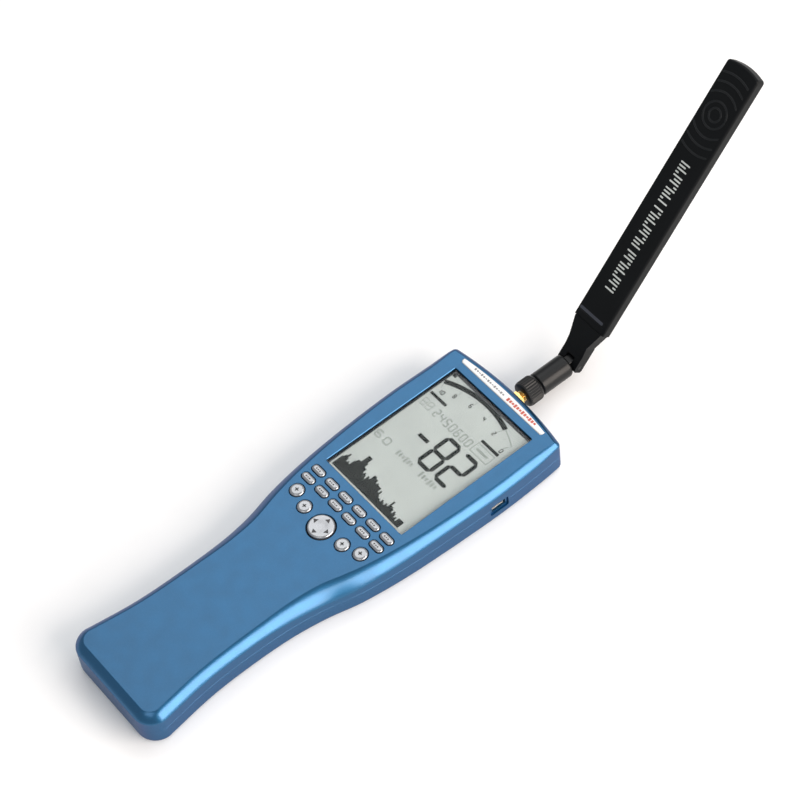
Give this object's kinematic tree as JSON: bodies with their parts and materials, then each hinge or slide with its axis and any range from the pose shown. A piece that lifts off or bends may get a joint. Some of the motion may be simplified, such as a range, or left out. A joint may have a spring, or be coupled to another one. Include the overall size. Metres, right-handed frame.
{
  "type": "handheld spectrum analyzer",
  "caption": "Handheld electronics tester: waisted grip under a wide head with a tall display, small keys, a navigation disc and a hinged blade antenna on the top end.",
  "frame": {"origin": "mouth of the tripod thread in the back face, straight behind the navigation disc", "axes": "+Y along the case towards the antenna, +Z out of the display, +X to the right of a reader who looks at the display"},
  "size_m": [0.0898, 0.4264, 0.1477],
  "materials": {
    "case_blue": "satin metallic blue",
    "lens_clear": "clear acrylic",
    "lcd_glass": "grey-green liquid crystal glass",
    "light_guide": "white light guide",
    "frame_black": "moulded black",
    "zebra_rubber": "striped contact rubber",
    "label_white": "domed printed label",
    "key_silver": "silver paint",
    "part_grey": "moulded dark grey",
    "mat_rubber": "silicone",
    "board_green": "glass-epoxy board with solder mask",
    "chip_black": "moulded black",
    "can_tin": "tin plate",
    "cell_can": "cells in blue shrink film",
    "connector_ivory": "moulded ivory",
    "insert_brass": "turned",
    "screw_steel": "zinc plated",
    "contact_gold": "gold plated",
    "insulator_white": "PTFE",
    "coax_copper": "tinned copper",
    "nut_black": "knurled black",
    "antenna_black": "satin black"
  },
  "bodies": {
    "case": {"front_shell": "case_blue", "rear_shell": "case_blue", "display_lens": "lens_clear", "lcd_panel": "lcd_glass", "lcd_backlight": "light_guide", "lcd_frame": "frame_black", "zebra_strips": "zebra_rubber", "label_strip": "label_white", "nav_post": "part_grey", "keypad_mat": "mat_rubber", "main_board": "board_green", "board_chips": "chip_black", "shield_can_input": "can_tin", "shield_can_mixer": "can_tin", "speaker": "chip_black", "battery_pack": "cell_can", "battery_connector": "connector_ivory", "usb_socket": "can_tin", "earphone_jack": "chip_black", "jog_encoder": "chip_black", "tripod_insert": "insert_brass", "case_screws": "screw_steel", "board_screws": "screw_steel", "sma_jack": "contact_gold", "sma_insulator": "insulator_white", "sma_contact": "contact_gold", "sma_lock_nut": "contact_gold", "coax_jumper": "coax_copper"},
    "key_upper_1": {"key_upper_1": "key_silver"},
    "key_upper_2": {"key_upper_2": "key_silver"},
    "key_upper_3": {"key_upper_3": "key_silver"},
    "key_upper_4": {"key_upper_4": "key_silver"},
    "key_upper_5": {"key_upper_5": "key_silver"},
    "key_upper_6": {"key_upper_6": "key_silver"},
    "key_lower_1": {"key_lower_1": "key_silver"},
    "key_lower_2": {"key_lower_2": "key_silver"},
    "key_lower_3": {"key_lower_3": "key_silver"},
    "key_lower_4": {"key_lower_4": "key_silver"},
    "key_lower_5": {"key_lower_5": "key_silver"},
    "key_lower_6": {"key_lower_6": "key_silver"},
    "key_round_1": {"key_round_1": "key_silver"},
    "key_round_2": {"key_round_2": "key_silver"},
    "key_round_3": {"key_round_3": "key_silver"},
    "key_round_4": {"key_round_4": "key_silver"},
    "nav_rocker": {"nav_actuator": "part_grey"},
    "nav_top": {"nav_disc": "key_silver"},
    "jog_wheel": {"jog_dial": "part_grey"},
    "battery_cover": {"battery_door": "case_blue"},
    "antenna_base": {"antenna_barrel": "antenna_black", "antenna_plug": "contact_gold", "antenna_centre_pin": "contact_gold"},
    "coupling_nut": {"antenna_nut": "nut_black"},
    "antenna_arm": {"antenna_fork": "antenna_black", "antenna_blade": "antenna_black", "antenna_element": "board_green", "antenna_hinge_pin": "screw_steel"}
  },
  "joints": [
    {"name": "key_upper_1_press", "type": "slide", "parent": "case", "child": "key_upper_1", "axis": [0, 0, -1], "range_m": [0, 0.0008], "stiffness_N_per_m": 600},
    {"name": "key_upper_2_press", "type": "slide", "parent": "case", "child": "key_upper_2", "axis": [0, 0, -1], "range_m": [0, 0.0008], "stiffness_N_per_m": 600},
    {"name": "key_upper_3_press", "type": "slide", "parent": "case", "child": "key_upper_3", "axis": [0, 0, -1], "range_m": [0, 0.0008], "stiffness_N_per_m": 600},
    {"name": "key_upper_4_press", "type": "slide", "parent": "case", "child": "key_upper_4", "axis": [0, 0, -1], "range_m": [0, 0.0008], "stiffness_N_per_m": 600},
    {"name": "key_upper_5_press", "type": "slide", "parent": "case", "child": "key_upper_5", "axis": [0, 0, -1], "range_m": [0, 0.0008], "stiffness_N_per_m": 600},
    {"name": "key_upper_6_press", "type": "slide", "parent": "case", "child": "key_upper_6", "axis": [0, 0, -1], "range_m": [0, 0.0008], "stiffness_N_per_m": 600},
    {"name": "key_lower_1_press", "type": "slide", "parent": "case", "child": "key_lower_1", "axis": [0, 0, -1], "range_m": [0, 0.0008], "stiffness_N_per_m": 600},
    {"name": "key_lower_2_press", "type": "slide", "parent": "case", "child": "key_lower_2", "axis": [0, 0, -1], "range_m": [0, 0.0008], "stiffness_N_per_m": 600},
    {"name": "key_lower_3_press", "type": "slide", "parent": "case", "child": "key_lower_3", "axis": [0, 0, -1], "range_m": [0, 0.0008], "stiffness_N_per_m": 600},
    {"name": "key_lower_4_press", "type": "slide", "parent": "case", "child": "key_lower_4", "axis": [0, 0, -1], "range_m": [0, 0.0008], "stiffness_N_per_m": 600},
    {"name": "key_lower_5_press", "type": "slide", "parent": "case", "child": "key_lower_5", "axis": [0, 0, -1], "range_m": [0, 0.0008], "stiffness_N_per_m": 600},
    {"name": "key_lower_6_press", "type": "slide", "parent": "case", "child": "key_lower_6", "axis": [0, 0, -1], "range_m": [0, 0.0008], "stiffness_N_per_m": 600},
    {"name": "key_round_1_press", "type": "slide", "parent": "case", "child": "key_round_1", "axis": [0, 0, -1], "range_m": [0, 0.0008], "stiffness_N_per_m": 600},
    {"name": "key_round_2_press", "type": "slide", "parent": "case", "child": "key_round_2", "axis": [0, 0, -1], "range_m": [0, 0.0008], "stiffness_N_per_m": 600},
    {"name": "key_round_3_press", "type": "slide", "parent": "case", "child": "key_round_3", "axis": [0, 0, -1], "range_m": [0, 0.0008], "stiffness_N_per_m": 600},
    {"name": "key_round_4_press", "type": "slide", "parent": "case", "child": "key_round_4", "axis": [0, 0, -1], "range_m": [0, 0.0008], "stiffness_N_per_m": 600},
    {"name": "nav_tilt_up_down", "type": "hinge", "parent": "case", "child": "nav_rocker", "pos_m": [0, 0, 0.0174], "axis": [1, 0, 0], "range_deg": [-3, 3], "stiffness_Nm_per_rad": 0.25},
    {"name": "nav_tilt_left_right", "type": "hinge", "parent": "nav_rocker", "child": "nav_top", "pos_m": [0, 0, 0.0213], "axis": [0, 1, 0], "range_deg": [-3, 3], "stiffness_Nm_per_rad": 0.25},
    {"name": "jog_turn", "type": "hinge", "parent": "case", "child": "jog_wheel", "pos_m": [-0.0388, 0.088, 0.0081], "axis": [0, 0, 1], "continuous": true},
    {"name": "battery_cover_slide", "type": "slide", "parent": "case", "child": "battery_cover", "axis": [0, -1, 0], "range_m": [0, 0.1]},
    {"name": "antenna_swivel", "type": "hinge", "parent": "case", "child": "antenna_base", "pos_m": [0, 0.15, 0.0115], "axis": [0, 1, 0], "continuous": true},
    {"name": "coupling_nut_spin", "type": "hinge", "parent": "antenna_base", "child": "coupling_nut", "pos_m": [0, 0.136, 0.0115], "axis": [0, 1, 0], "continuous": true},
    {"name": "antenna_tilt", "type": "hinge", "parent": "antenna_base", "child": "antenna_arm", "pos_m": [0, 0.166, 0.0115], "axis": [1, 0, 0], "range_deg": [-47, 43]}
  ]
}
